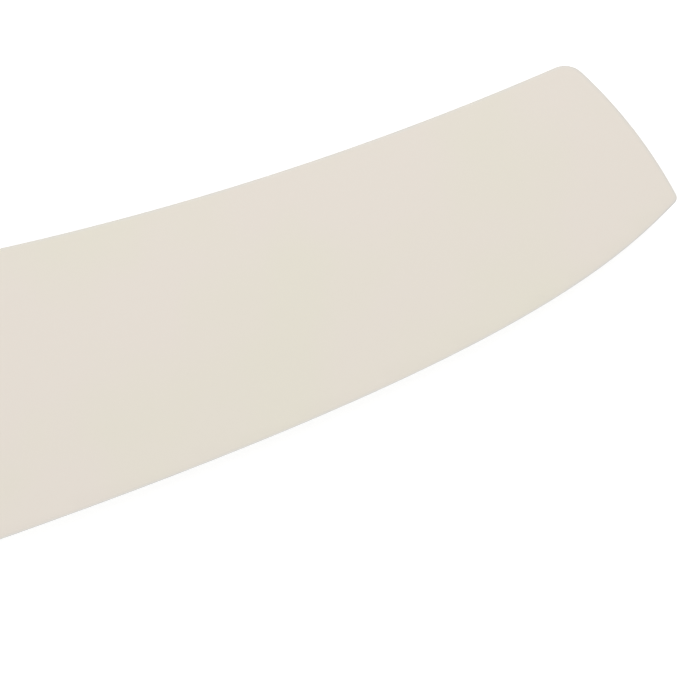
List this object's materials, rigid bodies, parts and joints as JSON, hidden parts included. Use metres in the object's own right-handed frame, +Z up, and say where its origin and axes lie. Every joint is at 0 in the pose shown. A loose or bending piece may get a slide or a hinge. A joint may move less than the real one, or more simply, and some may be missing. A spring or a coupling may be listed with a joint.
{
  "type": "kitchen cleaver",
  "caption": "Broad kitchen cleaver with an upswept coated steel blade, a full tang and riveted handle scales over thin liners, lying on its side.",
  "frame": {"origin": "on the surface that the knife lies on, under the middle of its side view", "axes": "+X from butt to tip along the handle's axis, +Y from the cutting edge towards the spine, +Z up, out of the blade's right side, which the picture shows"},
  "size_m": [0.3396, 0.0922, 0.0225],
  "materials": {
    "coated_steel": "cream, satin non-stick coating; bare steel along the honed edge and the rim of the tang",
    "liner_fibre": "grey-brown vulcanised fibre, sanded",
    "scale_polymer": "charcoal moulded polymer, fine matt grain",
    "rivet_steel": "turned stainless steel, ground flush"
  },
  "bodies": {
    "root": {"blade": "coated_steel", "right_liner": "liner_fibre", "left_liner": "liner_fibre", "right_scale": "scale_polymer", "left_scale": "scale_polymer", "front_rivet_stud": "rivet_steel", "front_rivet_sleeve": "rivet_steel", "middle_rivet_stud": "rivet_steel", "middle_rivet_sleeve": "rivet_steel", "rear_rivet_stud": "rivet_steel", "rear_rivet_sleeve": "rivet_steel"}
  },
  "joints": []
}
